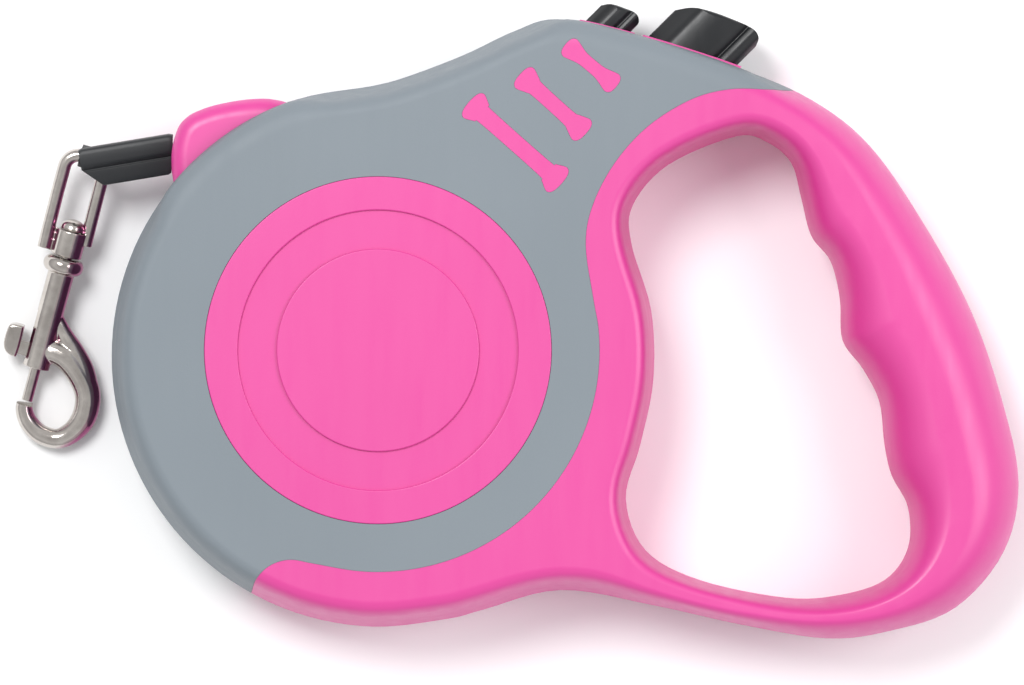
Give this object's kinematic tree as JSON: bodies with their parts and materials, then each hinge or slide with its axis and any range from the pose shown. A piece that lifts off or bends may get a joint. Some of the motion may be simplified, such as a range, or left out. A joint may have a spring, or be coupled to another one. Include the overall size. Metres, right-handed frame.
{
  "type": "retractable leash",
  "caption": "Retractable tape leash with a finger grip, a spring reel, brake and lock buttons and a swivelling snap hook.",
  "frame": {"origin": "where the reel's axis meets the flat back face that the leash rests on", "axes": "+X from the reel to the grip, +Y towards the buttons, +Z along the reel's axis from the back face to the front face"},
  "size_m": [0.1848, 0.1152, 0.028],
  "materials": {
    "pink_shell": "soft satin",
    "grey_cover": "fine matte",
    "black_button": "semi gloss",
    "white_acetal": "smooth",
    "nickel": "polished nickel",
    "steel": "bright",
    "webbing": "woven nylon"
  },
  "bodies": {
    "case": {"front_shell": "pink_shell", "back_shell": "pink_shell", "front_cover": "grey_cover", "back_cover": "grey_cover", "front_cap": "pink_shell", "back_cap": "pink_shell", "strap_guide": "pink_shell", "axle": "steel", "guide_pin_inner": "steel", "guide_pin_outer": "steel", "clock_spring": "steel", "tape_run": "webbing", "brake_spring": "steel", "lock_spring": "steel", "case_screw_1": "steel", "case_screw_2": "steel", "case_screw_3": "steel", "case_screw_4": "steel", "case_screw_5": "steel", "case_screw_6": "steel"},
    "spool": {"spool_drum": "white_acetal", "spool_flange": "white_acetal", "spring_cover": "steel", "tape_roll": "webbing"},
    "leash_end": {"tape_sleeve": "black_button", "tape_loop": "webbing"},
    "eye": {"hook_eye": "nickel"},
    "hook": {"hook_body": "nickel", "eye_rivet": "nickel", "bolt_spring": "steel"},
    "bolt": {"hook_bolt": "nickel"},
    "brake": {"brake_button": "black_button", "brake_pawl": "white_acetal"},
    "lock": {"lock_button": "black_button"}
  },
  "joints": [
    {"name": "leash_pull", "type": "slide", "parent": "case", "child": "leash_end", "axis": [-0.9866, -0.1633, 0], "range_m": [0, 3], "stiffness_N_per_m": 1, "springref_m": -2},
    {"name": "spool_spin", "type": "hinge", "parent": "case", "child": "spool", "pos_m": [0, 0, 0.014], "axis": [0, 0, 1], "range_deg": [0, 6360.5], "deforming": ["clock_spring"]},
    {"name": "brake_press", "type": "slide", "parent": "case", "child": "brake", "axis": [-0.7071, -0.7071, 0], "range_m": [0, 0.003], "stiffness_N_per_m": 600, "springref_m": -0.002, "deforming": ["brake_spring"]},
    {"name": "lock_press", "type": "slide", "parent": "case", "child": "lock", "axis": [-0.7071, -0.7071, 0], "range_m": [0, 0.002], "stiffness_N_per_m": 500, "springref_m": -0.002, "deforming": ["lock_spring"]},
    {"name": "eye_swing", "type": "hinge", "parent": "leash_end", "child": "eye", "pos_m": [-0.05296, 0.03511, 0.00861], "axis": [-0.9641, 0.2656, 0], "range_deg": [-90, 20]},
    {"name": "hook_swivel", "type": "hinge", "parent": "eye", "child": "hook", "pos_m": [-0.0576, 0.016, 0.0062], "axis": [0.2636, 0.9569, 0.1219], "continuous": true},
    {"name": "bolt_slide", "type": "slide", "parent": "hook", "child": "bolt", "axis": [0.2636, 0.9569, 0.1219], "range_m": [0, 0.006], "stiffness_N_per_m": 250, "springref_m": -0.004, "deforming": ["bolt_spring"]}
  ],
  "couplings": [
    {"joint": "spool_spin", "follows": "leash_pull", "rad_per_m": 37.001}
  ]
}
